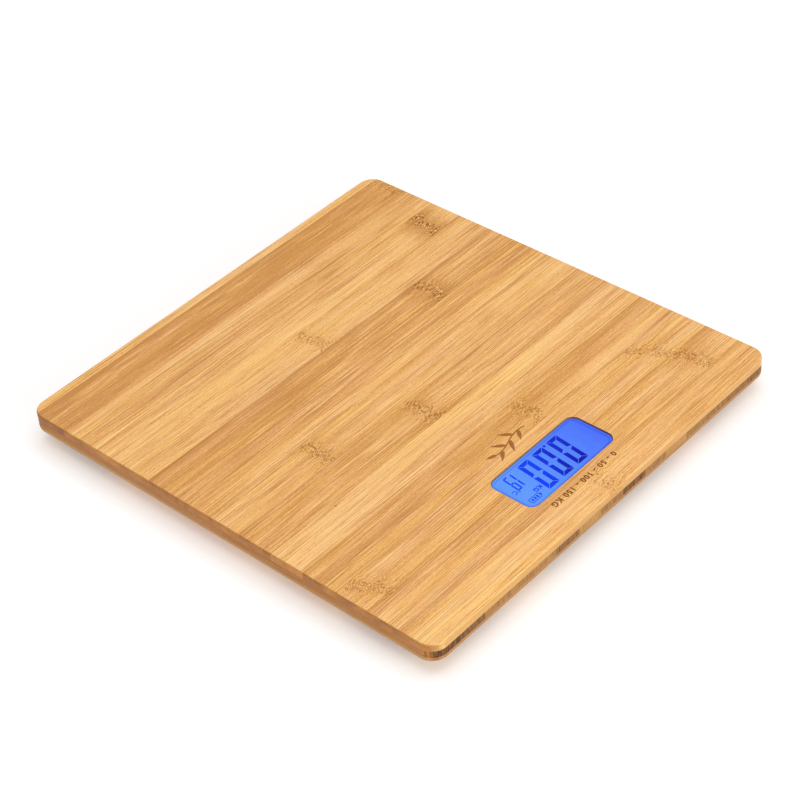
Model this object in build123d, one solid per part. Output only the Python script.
"""Digital bathroom scale: a three-ply bamboo platform on four load-cell feet, with a backlit LCD let
into its top and an electronics and battery housing let into its underside.

Millimetres. +Z is up, +Y points to the display edge and +X to the right of a person who stands on the
scale and reads it. The origin is on the floor, under the middle of the platform."""

from build123d import *
import os

os.makedirs("parts", exist_ok=True)

# Platform: three bamboo plies glued flat, the outer two with their grain along X.
PLATFORM_X = 285.0
PLATFORM_Y = 300.0
CORNER_RADIUS = 10.0
TOP_EDGE_RADIUS = 1.2
BOTTOM_EDGE_RADIUS = 1.5
UNDERSIDE = 10.0
BOTTOM_PLY = 3.0
CORE_PLY = 4.5
TOP_PLY = 4.5
CORE_LEVEL = UNDERSIDE + BOTTOM_PLY
POCKET_ROOF = CORE_LEVEL + CORE_PLY
TOP = POCKET_ROOF + TOP_PLY

# Display window, seen in the top face.
WINDOW_X = 71.0
WINDOW_Y = 31.0
WINDOW_RADIUS = 5.5
WINDOW_GAP = 0.3
WINDOW_AT = (0.0, 110.0)
LENS_BELOW_TOP = 0.1
LENS_THICKNESS = 0.9
LENS_TOP = TOP - LENS_BELOW_TOP
ADHESIVE = 0.1
FRAME_TOP = LENS_TOP - LENS_THICKNESS - ADHESIVE
FRAME_RIM = 1.3
FRAME_STEP = 0.1
LCD_TOP = FRAME_TOP - FRAME_STEP
LCD_X = 66.0
LCD_Y = 27.0
GLASS = 1.0
CONTACT_LEDGE = 2.4
SLIDE_GAP = 0.2
BACKLIGHT = 3.0
REFLECTOR = 0.2
LED_ROOM = 2.4

# Circuit board, hung under the display frame by four screws.
BOARD_X = 84.0
BOARD_Y = 40.0
BOARD_THICKNESS = 1.2
BOARD_TOP = 13.35
BOARD_BOTTOM = BOARD_TOP - BOARD_THICKNESS
BOARD_SCREWS = [(sx * 38.5, WINDOW_AT[1] + sy * 16.5) for sx in (-1, 1) for sy in (-1, 1)]
FRAME_FLANGE = 1.6

# Pocket in the two lower plies, and the cover that closes it.
POCKET_X = 92.0
POCKET_Y = 84.0
POCKET_AT = (0.0, 90.0)
POCKET_RADIUS = 6.0
COVER_X = 116.0
COVER_Y = 102.0
COVER_AT = (0.0, POCKET_AT[1] + 1.0)
COVER_RADIUS = 9.0
FLANGE = 1.6
FLANGE_LOW = UNDERSIDE - FLANGE
HUMP_X = 100.0
HUMP_Y = 90.0
HUMP_LOW = 3.6
HUMP_END = COVER_AT[1] - HUMP_Y / 2
WALL = 1.8
HUMP_FLOOR = HUMP_LOW + WALL

# Battery well, two AAA cells side by side along X.
CELL_LENGTH = 44.5
CELL_RADIUS = 5.25
CELL_PITCH = 11.2
CELL_Z = 10.9
NUB_LENGTH = 1.0
NUB_RADIUS = 1.9
WELL_X = 52.0
WELL_Y = 23.0
WELL_AT = (0.0, 63.5)
WELL_WALL = 1.6
WELL_ROOF = 16.4
WELL_TOP = 17.3
CONTACT = 0.4
TAB_LOW = BOARD_TOP - CONTACT
DIMPLE = 1.2
SPRING_WIRE = 0.35

# Battery door, which slides off towards the middle of the platform.
DOOR_X = 57.4
DOOR_Y = 33.0
DOOR_PLATE = 1.6
DOOR_GAP = 0.3
DOOR_END_HIGH = FLANGE_LOW - 0.2
TONGUE_OUT = 1.7
TONGUE_LOW = HUMP_FLOOR + 0.1
TONGUE_HIGH = TONGUE_LOW + 1.0

# Foot modules, one near each corner.
FOOT_INSET_X = 36.0
FOOT_INSET_Y = 36.0
FOOT_X = PLATFORM_X / 2 - FOOT_INSET_X
FOOT_Y = PLATFORM_Y / 2 - FOOT_INSET_Y
CUP = 39.4
CUP_GAP = 0.3
CUP_RADIUS = 4.7
CUP_WALL = 1.7
CUP_FLANGE = 54.0
CUP_FLANGE_RADIUS = 9.0
CUP_SCREW = 22.5
CAP_LOW = 16.1
CAP_TOP = POCKET_ROOF - 0.1
CELL_PLATE = 34.0
CELL_PLATE_LOW = 12.2
CELL_PLATE_HIGH = 13.7
CELL_RING = 5.0
GAUGE_OUT = 9.5
GAUGE_LENGTH = 6.0
FOOT_RADIUS = 20.0
FOOT_LOW = 2.0
FOOT_HIGH = 7.2
PLUNGER_RADIUS = 16.4
PLUNGER_HIGH = 10.6
GUIDE_RADIUS = 16.8
PLUNGER_WALL = 1.8
HOOK_RADIUS = 17.6
HOOK_PLAY = 0.1
PAD_RADIUS = 17.3
PAD_HIGH = 3.0
BOSS_RADIUS = 5.0

# Screws and their holes.
SHANK_RADIUS = 1.25
PILOT_RADIUS = 1.3
HEAD_RADIUS = 2.9
SHANK_HIGH = 15.9
PILOT_HIGH = 16.5
CROSS_WIDTH = 0.6
CROSS_DEPTH = 0.9

# Load-cell wires, three to a cell, laid in covered grooves in the bottom ply.
WIRE_RADIUS = 0.5
WIRE_PITCH = 1.2
WIRE_Z = BOARD_BOTTOM - WIRE_RADIUS
GROOVE = 4.4
GROOVE_LOW = UNDERSIDE + 1.0
STRIP = 7.0
STRIP_GAP = 0.1
REAR_RUN_X = 32.0
BEND_RADIUS = 14.0

# Unit button, pressed upwards against a switch on the circuit board.
BUTTON_AT = (32.0, 104.0)
BUTTON_RADIUS = 3.9
BUTTON_LOW = 2.9
SWITCH = 6.0
SWITCH_HEIGHT = 3.5
PLUNGER_OUT = 0.8

CORNERS = {
    "front_left": (-1, 1),
    "front_right": (1, 1),
    "rear_left": (-1, -1),
    "rear_right": (1, -1),
}
COVER_SCREWS = [(sx * 54.0, y) for sx in (-1, 1) for y in (44.5, 91.0, 137.5)]


def slab(width, depth, low, high, radius=0.0, at=(0.0, 0.0)):
    """A flat block between two heights, with rounded corners if a radius is given."""
    outline = RectangleRounded(width, depth, radius) if radius else Rectangle(width, depth)
    return extrude(Pos(at[0], at[1], low) * outline, high - low)


def disc(radius, low, high, at=(0.0, 0.0)):
    """An upright cylinder between two heights."""
    return Pos(at[0], at[1], (low + high) / 2) * Cylinder(radius, high - low)


def brick(x, y, z):
    """A block from three (low, high) pairs."""
    middle = Pos((x[0] + x[1]) / 2, (y[0] + y[1]) / 2, (z[0] + z[1]) / 2)
    return middle * Box(x[1] - x[0], y[1] - y[0], z[1] - z[0])


def save(name, *pieces):
    """Writes one node, whose pieces may be several separate solids."""
    solids = [solid for piece in pieces for solid in piece.solids()]
    export_step(solids[0] if len(solids) == 1 else Compound(children=solids), f"parts/{name}.step")


def foot_at(corner):
    sx, sy = CORNERS[corner]
    return sx * FOOT_X, sy * FOOT_Y


def all_cup_screws():
    """Where the sixteen screws of the foot modules stand."""
    corners = [foot_at(corner) for corner in CORNERS]
    offsets = [(sx * CUP_SCREW, sy * CUP_SCREW) for sx in (-1, 1) for sy in (-1, 1)]
    return [(x + dx, y + dy) for x, y in corners for dx, dy in offsets]


# ---------------------------------------------------------------- platform


def rear_run(sx, width, low, high, start_x, end_y):
    """An L-shaped strip: from a rear foot towards the middle, round a bend, then towards the display."""
    half = width / 2
    x_out = sx * start_x
    x_far = sx * (REAR_RUN_X - half)
    x_near = sx * (REAR_RUN_X + half)
    low_y = -FOOT_Y - half
    high_y = -FOOT_Y + half
    outer_side = [(x_out, low_y), (x_far, low_y), (x_far, end_y)]
    inner_side = [(x_near, end_y), (x_near, high_y), (x_out, high_y)]
    outline = make_face(Polyline(*outer_side, *inner_side, close=True))
    outer = outline.vertices().sort_by_distance((x_far, low_y))[0]
    outline = fillet(outer, BEND_RADIUS + half)
    inner = outline.vertices().sort_by_distance((x_near, high_y))[0]
    outline = fillet(inner, BEND_RADIUS - half)
    return extrude(Pos(0, 0, low) * outline, high - low)


def groove_cutters():
    """The wire grooves, each with a wider step below it for the strip that covers it."""
    cutters = []
    cup_edge = FOOT_X - CUP / 2 - CUP_GAP
    pocket_edge = POCKET_X / 2
    pocket_end = POCKET_AT[1] - POCKET_Y / 2
    for sx in (-1, 1):
        front = sorted((sx * (cup_edge + 1), sx * (pocket_edge - 1)))
        strip = sorted((sx * (FOOT_X - CUP_FLANGE / 2), sx * COVER_X / 2))
        cutters.append(brick(front, (FOOT_Y - GROOVE / 2, FOOT_Y + GROOVE / 2), (UNDERSIDE, CORE_LEVEL)))
        cutters.append(brick(strip, (FOOT_Y - STRIP / 2, FOOT_Y + STRIP / 2), (UNDERSIDE, GROOVE_LOW)))
        cutters.append(rear_run(sx, GROOVE, UNDERSIDE, CORE_LEVEL, cup_edge + 1, pocket_end + 1))
        cutters.append(
            rear_run(sx, STRIP, UNDERSIDE, GROOVE_LOW, FOOT_X - CUP_FLANGE / 2, COVER_AT[1] - COVER_Y / 2)
        )
    return cutters


def lower_openings(low, high):
    """What is cut through both lower plies: the electronics pocket, four cup pockets and the screw holes."""
    side = CUP + 2 * CUP_GAP
    cuts = [slab(POCKET_X, POCKET_Y, low, high, POCKET_RADIUS, POCKET_AT)]
    cuts += [slab(side, side, low, high, CUP_RADIUS + CUP_GAP, foot_at(corner)) for corner in CORNERS]
    cuts += [disc(PILOT_RADIUS, low, min(high, PILOT_HIGH), at) for at in all_cup_screws() + COVER_SCREWS]
    return cuts


def top_ply():
    ply = slab(PLATFORM_X, PLATFORM_Y, POCKET_ROOF, TOP, CORNER_RADIUS)
    ply = fillet(ply.faces().sort_by(Axis.Z)[-1].edges(), TOP_EDGE_RADIUS)
    hole = slab(
        WINDOW_X + 2 * WINDOW_GAP,
        WINDOW_Y + 2 * WINDOW_GAP,
        POCKET_ROOF,
        TOP,
        WINDOW_RADIUS + WINDOW_GAP,
        WINDOW_AT,
    )
    return ply - hole


def core_ply():
    ply = slab(PLATFORM_X, PLATFORM_Y, CORE_LEVEL, POCKET_ROOF, CORNER_RADIUS)
    return ply - lower_openings(CORE_LEVEL, POCKET_ROOF)


def bottom_ply():
    ply = slab(PLATFORM_X, PLATFORM_Y, UNDERSIDE, CORE_LEVEL, CORNER_RADIUS)
    ply = fillet(ply.faces().sort_by(Axis.Z)[0].edges(), BOTTOM_EDGE_RADIUS)
    return ply - lower_openings(UNDERSIDE, CORE_LEVEL) - groove_cutters()


# ---------------------------------------------------------------- display


def display_lens():
    """The clear window, its upper edge just broken."""
    lens = slab(WINDOW_X, WINDOW_Y, LENS_TOP - LENS_THICKNESS, LENS_TOP, WINDOW_RADIUS, WINDOW_AT)
    return chamfer(lens.faces().sort_by(Axis.Z)[-1].edges(), 0.25)


def lens_adhesive():
    """The ring of clear double-sided tape that holds the lens on the frame's rim."""
    low = FRAME_TOP
    high = FRAME_TOP + ADHESIVE
    ring = slab(WINDOW_X - 0.4, WINDOW_Y - 0.4, low, high, WINDOW_RADIUS - 0.2, WINDOW_AT)
    inner_x = WINDOW_X - 2 * FRAME_RIM
    inner_y = WINDOW_Y - 2 * FRAME_RIM
    return ring - slab(inner_x, inner_y, low, high, WINDOW_RADIUS - FRAME_RIM, WINDOW_AT)


def display_frame():
    """The white light box: a tower in the window, a flange under the top ply and four screw bosses."""
    rim = slab(WINDOW_X, WINDOW_Y, BOARD_TOP, FRAME_TOP, WINDOW_RADIUS, WINDOW_AT)
    flange = slab(BOARD_X, BOARD_Y, POCKET_ROOF - FRAME_FLANGE, POCKET_ROOF, 3.0, WINDOW_AT)
    bosses = [disc(2.6, BOARD_TOP, POCKET_ROOF - FRAME_FLANGE, at) for at in BOARD_SCREWS]
    inner_radius = WINDOW_RADIUS - FRAME_RIM
    step = slab(
        WINDOW_X - 2 * FRAME_RIM, WINDOW_Y - 2 * FRAME_RIM, LCD_TOP, FRAME_TOP, inner_radius, WINDOW_AT
    )
    well = slab(LCD_X + 2 * SLIDE_GAP, LCD_Y + 2 * SLIDE_GAP, BOARD_TOP, FRAME_TOP, 0, WINDOW_AT)
    pilots = [disc(0.9, BOARD_TOP, POCKET_ROOF - 0.5, at) for at in BOARD_SCREWS]
    return rim + flange + bosses - step - well - pilots


def lcd_panel():
    """Two glass plates. The upper one overhangs the lower, and carries the contacts under its ledge."""
    x = (-LCD_X / 2, LCD_X / 2)
    low_y = WINDOW_AT[1] - LCD_Y / 2
    high_y = WINDOW_AT[1] + LCD_Y / 2
    upper = brick(x, (low_y, high_y), (LCD_TOP - GLASS, LCD_TOP))
    lower = brick(x, (low_y, high_y - CONTACT_LEDGE), (LCD_TOP - 2 * GLASS, LCD_TOP - GLASS))
    return upper + lower


def backlight_box(low, high):
    low_y = WINDOW_AT[1] - LCD_Y / 2
    high_y = WINDOW_AT[1] + LCD_Y / 2 - CONTACT_LEDGE
    return brick((-LCD_X / 2, LCD_X / 2 - LED_ROOM), (low_y, high_y), (low, high))


def backlight_panel():
    high = LCD_TOP - 2 * GLASS
    return backlight_box(high - BACKLIGHT, high)


def backlight_reflector():
    high = LCD_TOP - 2 * GLASS - BACKLIGHT
    return backlight_box(high - REFLECTOR, high)


def backlight_pad():
    """Foam that presses the display stack up against its frame."""
    return backlight_box(BOARD_TOP, LCD_TOP - 2 * GLASS - BACKLIGHT - REFLECTOR)


def backlight_leds():
    """Two side-firing lamps that stand on the circuit board at the end of the light guide."""
    x = (LCD_X / 2 - LED_ROOM + 0.3, LCD_X / 2 - 0.3)
    middles = [WINDOW_AT[1] - 7.0, WINDOW_AT[1] + 5.0]
    return [brick(x, (y - 2.0, y + 2.0), (BOARD_TOP, LCD_TOP - 2 * GLASS - 0.3)) for y in middles]


def zebra_connector():
    """The rubber strip that joins the glass ledge to the pads on the circuit board."""
    high_y = WINDOW_AT[1] + LCD_Y / 2 - 0.1
    return brick((-30.0, 30.0), (high_y - 2.0, high_y), (BOARD_TOP, LCD_TOP - GLASS))


# ---------------------------------------------------------------- circuit board


def circuit_board():
    board = slab(BOARD_X, BOARD_Y, BOARD_BOTTOM, BOARD_TOP, 1.0, WINDOW_AT)
    return board - [disc(1.3, BOARD_BOTTOM, BOARD_TOP, at) for at in BOARD_SCREWS]


def controller_chip():
    """The domed drop of black resin over the controller die, under the board."""
    height, radius = 1.5, 6.0
    ball = (radius**2 + height**2) / (2 * height)
    drop = Pos(-10.0, 108.0, BOARD_BOTTOM - height + ball) * Sphere(ball)
    return drop & disc(radius, BOARD_BOTTOM - height, BOARD_BOTTOM, (-10.0, 108.0))


def circuit_components():
    """Resistors, capacitors, an inductor for the lamps and the crystal, all under the board."""
    places = [(6.0, 100.0), (10.0, 100.0), (14.0, 100.0), (6.0, 118.0), (10.0, 118.0)]
    places += [(-24.0, 100.0), (-24.0, 104.0)]
    chips = [slab(2.0, 1.2, BOARD_BOTTOM - 0.7, BOARD_BOTTOM, 0, at) for at in places]
    inductor = disc(2.6, BOARD_BOTTOM - 2.6, BOARD_BOTTOM, (18.0, 110.0))
    crystal = slab(6.0, 2.2, BOARD_BOTTOM - 1.8, BOARD_BOTTOM, 1.0, (-10.0, 119.5))
    capacitor = disc(2.5, BOARD_BOTTOM - 4.0, BOARD_BOTTOM, (-27.0, 114.0))
    return chips + [inductor, crystal, capacitor]


def temperature_sensor():
    """A thermistor bead on two legs, held off the board so that it reads the air in the housing."""
    at = (25.0, 122.0)
    legs = [disc(0.25, BOARD_BOTTOM - 3.5, BOARD_BOTTOM, (at[0] + dx, at[1])) for dx in (-0.6, 0.6)]
    bead = Pos(at[0], at[1], BOARD_BOTTOM - 4.2) * Sphere(1.3)
    return bead + legs


def unit_switch_body():
    body = slab(SWITCH, SWITCH, BOARD_BOTTOM - SWITCH_HEIGHT, BOARD_BOTTOM, 0.4, BUTTON_AT)
    return body - disc(1.85, BOARD_BOTTOM - SWITCH_HEIGHT, BOARD_BOTTOM - 1.6, BUTTON_AT)


def unit_switch_plunger():
    low = BOARD_BOTTOM - SWITCH_HEIGHT - PLUNGER_OUT
    return disc(1.75, low, BOARD_BOTTOM - 2.2, BUTTON_AT)


def unit_button():
    """A domed cap through the cover, a flange that keeps it in, and a stem up to the switch."""
    cap = disc(BUTTON_RADIUS, BUTTON_LOW, HUMP_FLOOR + 0.2, BUTTON_AT)
    cap = fillet(cap.faces().sort_by(Axis.Z)[0].edges(), 0.6)
    flange = disc(5.2, HUMP_FLOOR + 0.2, HUMP_FLOOR + 1.0, BUTTON_AT)
    stem = disc(1.6, HUMP_FLOOR + 1.0, BOARD_BOTTOM - SWITCH_HEIGHT - PLUNGER_OUT, BUTTON_AT)
    return cap + flange + stem


# ---------------------------------------------------------------- screws


def cross_recess(at, low, reach):
    """A cross cut upwards into a screw's head."""
    bar = Box(reach, CROSS_WIDTH, CROSS_DEPTH) + Box(CROSS_WIDTH, reach, CROSS_DEPTH)
    return Pos(at[0], at[1], low + CROSS_DEPTH / 2) * bar


def countersink(at, low, high, radius):
    """A cone that narrows upwards from a flange's lower face."""
    return Pos(at[0], at[1], (low + high) / 2) * Cone(radius, SHANK_RADIUS, high - low)


def wood_screw(at):
    """A countersunk screw driven up through a flange into the plies."""
    head = countersink(at, FLANGE_LOW, UNDERSIDE - 0.1, HEAD_RADIUS)
    shank = disc(SHANK_RADIUS, UNDERSIDE - 0.1, SHANK_HIGH - 1.5, at)
    tip = Pos(at[0], at[1], SHANK_HIGH - 0.75) * Cone(SHANK_RADIUS, 0.3, 1.5)
    return head + shank + tip - cross_recess(at, FLANGE_LOW, 3.0)


def flange_holes(places):
    """Clearance holes with countersinks, for screws through a flange."""
    sinks = [countersink(at, FLANGE_LOW, UNDERSIDE - 0.1, HEAD_RADIUS + 0.15) for at in places]
    return sinks + [disc(PILOT_RADIUS + 0.2, FLANGE_LOW, UNDERSIDE, at) for at in places]


def board_screw(at):
    head = disc(2.2, BOARD_BOTTOM - 1.2, BOARD_BOTTOM, at)
    head = fillet(head.faces().sort_by(Axis.Z)[0].edges(), 0.5)
    return head + disc(0.85, BOARD_BOTTOM, POCKET_ROOF - 1.0, at) - cross_recess(at, BOARD_BOTTOM - 1.2, 2.4)


# ---------------------------------------------------------------- housing and battery


def rear_cover():
    """The underside moulding: a flange on the platform, a hump, and a battery well up inside the pocket."""
    flange = slab(COVER_X, COVER_Y, FLANGE_LOW, UNDERSIDE, COVER_RADIUS, COVER_AT)
    hump = slab(HUMP_X, HUMP_Y, HUMP_LOW, FLANGE_LOW, 7.0, COVER_AT)
    hump = fillet(hump.faces().sort_by(Axis.Z)[0].edges(), 1.5)
    hollow = slab(HUMP_X - 2 * WALL, HUMP_Y - 2 * WALL, HUMP_FLOOR, UNDERSIDE, 5.0, COVER_AT)
    well_x = WELL_X + 2 * WELL_WALL
    well = slab(well_x, WELL_Y + 2 * WELL_WALL, HUMP_FLOOR, WELL_TOP, 1.0, WELL_AT)
    bridge = brick((-well_x / 2, well_x / 2), (HUMP_END + WALL, WELL_AT[1]), (HUMP_FLOOR, UNDERSIDE))
    cells = slab(WELL_X, WELL_Y, HUMP_LOW, WELL_ROOF, 0.5, WELL_AT)
    posts = [disc(3.2, HUMP_FLOOR, UNDERSIDE, (sx * 42.0, y)) for sx in (-1, 1) for y in (58.0, 128.0)]
    half = DOOR_X / 2 + DOOR_GAP
    door_y = (HUMP_END - 1.0, HUMP_END + DOOR_Y + DOOR_GAP)
    doorway = brick((-half, half), door_y, (HUMP_LOW - 1.0, HUMP_FLOOR))
    end_wall = brick((-half, half), (HUMP_END - 1.0, HUMP_END + WALL), (HUMP_LOW - 1.0, FLANGE_LOW))
    reach = half + TONGUE_OUT
    tongue_way = brick((-reach, reach), (HUMP_END - 1.0, HUMP_END + WALL), (HUMP_FLOOR, TONGUE_HIGH + 0.3))
    button_hole = disc(BUTTON_RADIUS + 0.25, HUMP_LOW - 1.0, HUMP_FLOOR, BUTTON_AT)
    slot_places = [(-WELL_X / 2 - 1.0, WELL_AT[1] + side * CELL_PITCH / 2) for side in (-1, 1)]
    slots = [slab(4.0, 4.0, TAB_LOW - 0.1, BOARD_TOP + 0.1, 0, at) for at in slot_places]
    shell = flange + hump - hollow + well + bridge + posts
    shell = shell - cells - doorway - end_wall - tongue_way - button_hole - slots
    return shell - flange_holes(COVER_SCREWS)


def battery_door():
    """A plate with an end wall and two side tongues that run on the cover's floor, and five grip ridges."""
    half = DOOR_X / 2
    y = (HUMP_END, HUMP_END + DOOR_Y)
    plate = brick((-half, half), y, (HUMP_LOW, HUMP_LOW + DOOR_PLATE))
    end = brick((-half, half), (HUMP_END, HUMP_END + 1.5), (HUMP_LOW, DOOR_END_HIGH))
    edge = (plate + end).edges().filter_by(Axis.X).sort_by_distance((0, HUMP_END, HUMP_LOW))[0]
    door = fillet(edge, 1.2)
    for sx in (-1, 1):
        web = sorted((sx * (half - 0.7), sx * half))
        tongue = sorted((sx * (half - 0.7), sx * (half + TONGUE_OUT)))
        run = (HUMP_END + WALL + 0.5, HUMP_END + DOOR_Y - 1.0)
        door += brick(web, run, (HUMP_LOW + DOOR_PLATE, TONGUE_HIGH))
        door += brick(tongue, run, (TONGUE_LOW, TONGUE_HIGH))
    places = [(0.0, HUMP_END + 8.0 + 2.4 * n) for n in range(5)]
    ridges = [slab(18.0, 1.0, HUMP_LOW - 0.5, HUMP_LOW, 0.45, at) for at in places]
    return door + ridges


def cell(side):
    """A AAA cell. The two lie opposite ways round, so side also gives the way the positive end points."""
    y = WELL_AT[1] + side * CELL_PITCH / 2
    tip = -side * (WELL_X / 2 - CONTACT - DIMPLE)
    can_length = CELL_LENGTH - NUB_LENGTH
    can_end = tip + side * NUB_LENGTH
    lying = Pos(can_end + side * can_length / 2, y, CELL_Z) * Rot(0, 90, 0)
    can = lying * Cylinder(CELL_RADIUS, can_length)
    can = fillet(can.edges().filter_by(GeomType.CIRCLE), 0.5)
    nub = Pos(can_end - side * (NUB_LENGTH / 2), y, CELL_Z) * Rot(0, 90, 0) * Cylinder(NUB_RADIUS, NUB_LENGTH)
    return can + nub


def contact_plate(end, y_low, y_high):
    """A sheet-metal contact against one end wall of the well."""
    x = sorted((end * (WELL_X / 2 - CONTACT), end * WELL_X / 2))
    return brick(x, (y_low, y_high), (CELL_Z - 4.0, CELL_Z + 4.4))


def dimple(end, side):
    """The pressed bump that meets a cell's positive nub."""
    x = end * (WELL_X / 2 - CONTACT - DIMPLE / 2)
    return Pos(x, WELL_AT[1] + side * CELL_PITCH / 2, CELL_Z) * Rot(0, 90, 0) * Cylinder(1.6, DIMPLE)


def tab(side):
    """The solder tab that passes out through the well's end wall."""
    y = WELL_AT[1] + side * CELL_PITCH / 2
    return brick((-WELL_X / 2 - 3.2, -WELL_X / 2 + CONTACT), (y - 1.5, y + 1.5), (TAB_LOW, BOARD_TOP))


def battery_bridge_contact():
    return contact_plate(1, WELL_AT[1] - 10.0, WELL_AT[1] + 10.0) + dimple(1, -1)


def battery_positive_contact():
    return contact_plate(-1, WELL_AT[1] + 1.0, WELL_AT[1] + 10.0) + dimple(-1, 1) + tab(1)


def battery_negative_contact():
    return contact_plate(-1, WELL_AT[1] - 10.0, WELL_AT[1] - 1.0) + tab(-1)


def battery_spring(side):
    """A tapered spring between a contact and a cell's flat end. Its wire is drawn with eight sides."""
    plate = WELL_X / 2 - CONTACT
    flat_end = CELL_LENGTH - (WELL_X / 2 - CONTACT - DIMPLE)
    room = plate - flat_end
    length = room - 2 * SPRING_WIRE - 0.1
    turns = 3.5
    coil = Helix(pitch=length / turns, height=length, radius=4.0, cone_angle=-16)
    wire = Plane(origin=coil @ 0, z_dir=coil % 0) * RegularPolygon(SPRING_WIRE, 8)
    spring = sweep(wire, path=coil, is_frenet=True)
    start = side * (plate - SPRING_WIRE - 0.05)
    return Pos(start, WELL_AT[1] + side * CELL_PITCH / 2, CELL_Z) * Rot(0, -90 * side, 0) * spring


def battery_lead(side):
    """An insulated wire from a solder tab to the top of the circuit board."""
    radius = 0.6
    y = WELL_AT[1] + side * CELL_PITCH / 2
    z = BOARD_TOP + radius
    turn_x = -33.5 - 1.0 * side
    points = [(-WELL_X / 2 - 2.0, y, z), (turn_x, y, z), (turn_x, WINDOW_AT[1] - BOARD_Y / 2 + 2.0, z)]
    path = FilletPolyline(*points, radius=3.0)
    return sweep(Plane(origin=path @ 0, z_dir=path % 0) * Circle(radius), path=path)


def rating_label():
    """A blank label on the hump."""
    return slab(40.0, 22.0, HUMP_LOW - 0.1, HUMP_LOW, 2.0, (-16.0, 112.0))


# ---------------------------------------------------------------- feet


def sensor_housing(corner):
    """A cup let into the platform, with a flange below and a round hole that guides the foot."""
    at = foot_at(corner)
    inside = CUP - 2 * CUP_WALL
    flange = slab(CUP_FLANGE, CUP_FLANGE, FLANGE_LOW, UNDERSIDE, CUP_FLANGE_RADIUS, at)
    flange = fillet(flange.faces().sort_by(Axis.Z)[0].edges(), 0.8)
    cup = slab(CUP, CUP, UNDERSIDE, CAP_LOW, CUP_RADIUS, at)
    cup -= slab(inside, inside, UNDERSIDE, CAP_LOW, CUP_RADIUS - CUP_WALL, at)
    stand = CELL_PLATE / 2 - 2.0
    places = [(at[0] + sx * stand, at[1] + sy * stand) for sx in (-1, 1) for sy in (-1, 1)]
    stands = [disc(1.6, UNDERSIDE, CELL_PLATE_LOW, place) for place in places]
    guide = disc(GUIDE_RADIUS, FLANGE_LOW, UNDERSIDE, at)
    inward = -CORNERS[corner][0]
    notch_x = sorted((at[0] + inward * (inside / 2 - 1.0), at[0] + inward * (CUP / 2 + 1.0)))
    notch = brick(notch_x, (at[1] - GROOVE / 2, at[1] + GROOVE / 2), (GROOVE_LOW, CORE_LEVEL + 0.5))
    screws = [(at[0] + sx * CUP_SCREW, at[1] + sy * CUP_SCREW) for sx in (-1, 1) for sy in (-1, 1)]
    return flange + cup + stands - guide - notch - flange_holes(screws)


def sensor_cap(corner):
    """The plate over the cup, with two rails that press on the load cell's frame."""
    x, y = foot_at(corner)
    plate = slab(CUP, CUP, CAP_LOW, CAP_TOP, CUP_RADIUS, (x, y))
    middle = CELL_PLATE / 2 - CELL_RING / 2
    rails = [slab(30.0, 3.4, CELL_PLATE_HIGH, CAP_LOW, 0.5, (x, y + side * middle)) for side in (-1, 1)]
    return plate + rails


def load_cell(corner):
    """Sprung steel plate: a square frame whose middle arm carries the foot."""
    x, y = foot_at(corner)
    inward = -CORNERS[corner][0]
    inner = CELL_PLATE - 2 * CELL_RING
    plate = slab(CELL_PLATE, CELL_PLATE, CELL_PLATE_LOW, CELL_PLATE_HIGH, 3.0, (x, y))
    plate -= slab(inner, inner, CELL_PLATE_LOW, CELL_PLATE_HIGH, 1.5, (x, y))
    arm_x = sorted((x, x + inward * (inner / 2 + 1.0)))
    plate += brick(arm_x, (y - 4.5, y + 4.5), (CELL_PLATE_LOW, CELL_PLATE_HIGH))
    return plate + disc(6.5, CELL_PLATE_LOW, CELL_PLATE_HIGH, (x, y))


def gauge_potting(corner):
    """The silicone over the strain gauges, under the arm's root, where the wires start."""
    x, y = foot_at(corner)
    at = (x - CORNERS[corner][0] * GAUGE_OUT, y)
    drop = slab(GAUGE_LENGTH, 8.0, CELL_PLATE_LOW - 1.1, CELL_PLATE_LOW, 1.5, at)
    return fillet(drop.faces().sort_by(Axis.Z)[0].edges(), 0.5)


def foot(corner):
    """A plunger with four retaining hooks and a middle boss under the load cell's arm."""
    at = foot_at(corner)
    base = disc(FOOT_RADIUS, FOOT_LOW, FOOT_HIGH, at)
    base = fillet(base.edges().filter_by(GeomType.CIRCLE), 1.2)
    plunger = disc(PLUNGER_RADIUS, FOOT_HIGH, PLUNGER_HIGH, at)
    hook_ring = disc(HOOK_RADIUS, UNDERSIDE + HOOK_PLAY, PLUNGER_HIGH + 0.4, at)
    hook_ring -= disc(PLUNGER_RADIUS - PLUNGER_WALL, UNDERSIDE + HOOK_PLAY, PLUNGER_HIGH + 0.4, at)
    quarters = [Pos(*at, UNDERSIDE) * Rot(0, 0, turn) * Box(2 * FOOT_RADIUS, 6.0, 4.0) for turn in (45, 135)]
    hooks = hook_ring & (quarters[0] + quarters[1])
    coring = disc(PLUNGER_RADIUS - PLUNGER_WALL, FOOT_LOW + 3.2, PLUNGER_HIGH, at)
    coring -= disc(BOSS_RADIUS, FOOT_LOW + 3.2, PLUNGER_HIGH, at)
    boss = disc(BOSS_RADIUS, PLUNGER_HIGH, CELL_PLATE_LOW, at)
    return base + plunger + hooks + boss - coring - disc(PAD_RADIUS + 0.2, FOOT_LOW, PAD_HIGH, at)


def foot_pad(corner):
    """The rubber pad that meets the floor, with three shallow ring grooves."""
    at = foot_at(corner)
    pad = disc(PAD_RADIUS, 0.0, PAD_HIGH, at)
    pad = chamfer(pad.faces().sort_by(Axis.Z)[0].edges(), 0.6)
    for radius in (6.0, 9.8, 13.6):
        pad -= disc(radius + 0.6, 0.0, 0.7, at) - disc(radius - 0.6, 0.0, 0.7, at)
    return pad


# ---------------------------------------------------------------- wiring


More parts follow.
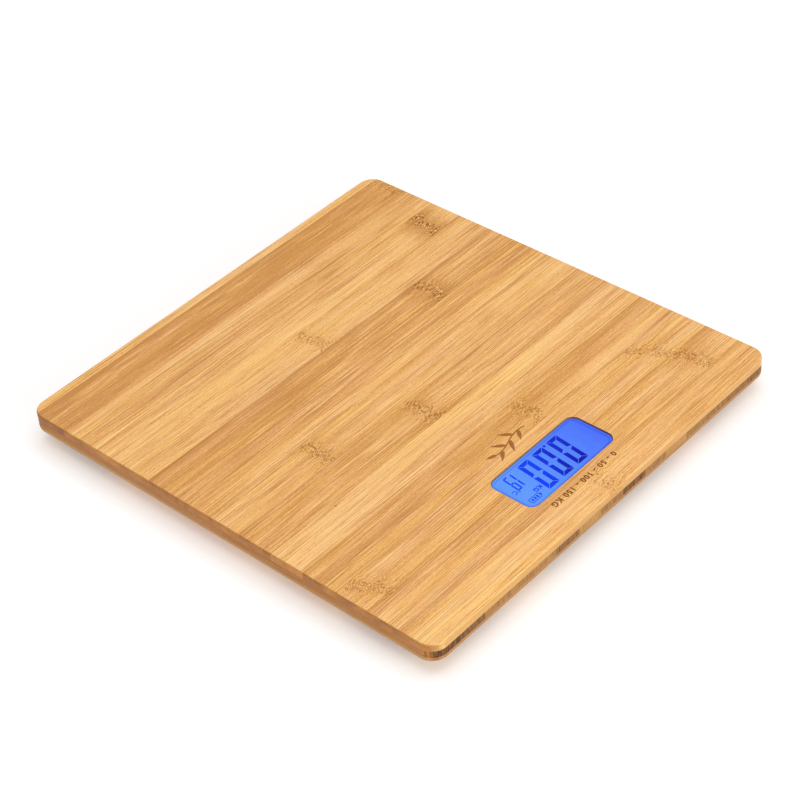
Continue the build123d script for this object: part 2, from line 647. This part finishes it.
def cell_wires(corner):
    """The three wires of one load cell, side by side in their groove."""
    sx, sy = CORNERS[corner]
    start_x = FOOT_X - GAUGE_OUT - GAUGE_LENGTH / 2
    wires = []
    for lane in (-1, 0, 1):
        shift = lane * WIRE_PITCH
        start = (sx * start_x, sy * FOOT_Y + shift, WIRE_Z)
        if sy > 0:
            path = Line(start, (sx * (BOARD_X / 2 - 2.5), FOOT_Y + shift, WIRE_Z))
        else:
            corner_x = sx * (REAR_RUN_X + shift)
            end_y = WINDOW_AT[1] - BOARD_Y / 2 + 2.0
            points = [start, (corner_x, -FOOT_Y + shift, WIRE_Z), (corner_x, end_y, WIRE_Z)]
            path = FilletPolyline(*points, radius=BEND_RADIUS - shift)
        wires.append(sweep(Plane(origin=path @ 0, z_dir=path % 0) * Circle(WIRE_RADIUS), path=path))
    return wires


def front_strip(sx):
    x = sorted((sx * (FOOT_X - CUP_FLANGE / 2 - STRIP_GAP), sx * (COVER_X / 2 + STRIP_GAP)))
    half = STRIP / 2 - STRIP_GAP
    return brick(x, (FOOT_Y - half, FOOT_Y + half), (UNDERSIDE, GROOVE_LOW))


def rear_strip(sx):
    end_y = COVER_AT[1] - COVER_Y / 2 - STRIP_GAP
    start_x = FOOT_X - CUP_FLANGE / 2 - STRIP_GAP
    return rear_run(sx, STRIP - 2 * STRIP_GAP, UNDERSIDE, GROOVE_LOW, start_x, end_y)


save("platform_top_ply", top_ply())
save("platform_core_ply", core_ply())
save("platform_bottom_ply", bottom_ply())
save("display_lens", display_lens())
save("lens_adhesive", lens_adhesive())
save("display_frame", display_frame())
save("lcd_panel", lcd_panel())
save("backlight_panel", backlight_panel())
save("backlight_reflector", backlight_reflector())
save("backlight_pad", backlight_pad())
save("backlight_leds", *backlight_leds())
save("zebra_connector", zebra_connector())
save("circuit_board", circuit_board())
save("controller_chip", controller_chip())
save("circuit_components", *circuit_components())
save("temperature_sensor", temperature_sensor())
save("unit_switch_body", unit_switch_body())
save("unit_switch_plunger", unit_switch_plunger())
save("unit_button", unit_button())
save("circuit_board_screws", *[board_screw(at) for at in BOARD_SCREWS])
save("rear_cover", rear_cover())
save("rear_cover_screws", *[wood_screw(at) for at in COVER_SCREWS])
save("rating_label", rating_label())
save("battery_door", battery_door())
save("battery_cell_rear", cell(-1))
save("battery_cell_front", cell(1))
save("battery_bridge_contact", battery_bridge_contact())
save("battery_positive_contact", battery_positive_contact())
save("battery_negative_contact", battery_negative_contact())
save("battery_springs", battery_spring(-1), battery_spring(1))
save("battery_leads", battery_lead(-1), battery_lead(1))
save("foot_module_screws", *[wood_screw(at) for at in all_cup_screws()])
save("gauge_potting", *[gauge_potting(corner) for corner in CORNERS])
save("wire_strips_front", front_strip(-1), front_strip(1))
save("wire_strips_rear", rear_strip(-1), rear_strip(1))
for corner in CORNERS:
    save(f"sensor_housing_{corner}", sensor_housing(corner))
    save(f"sensor_cap_{corner}", sensor_cap(corner))
    save(f"load_cell_{corner}", load_cell(corner))
    save(f"load_cell_wires_{corner}", *cell_wires(corner))
    save(f"foot_{corner}", foot(corner))
    save(f"foot_pad_{corner}", foot_pad(corner))
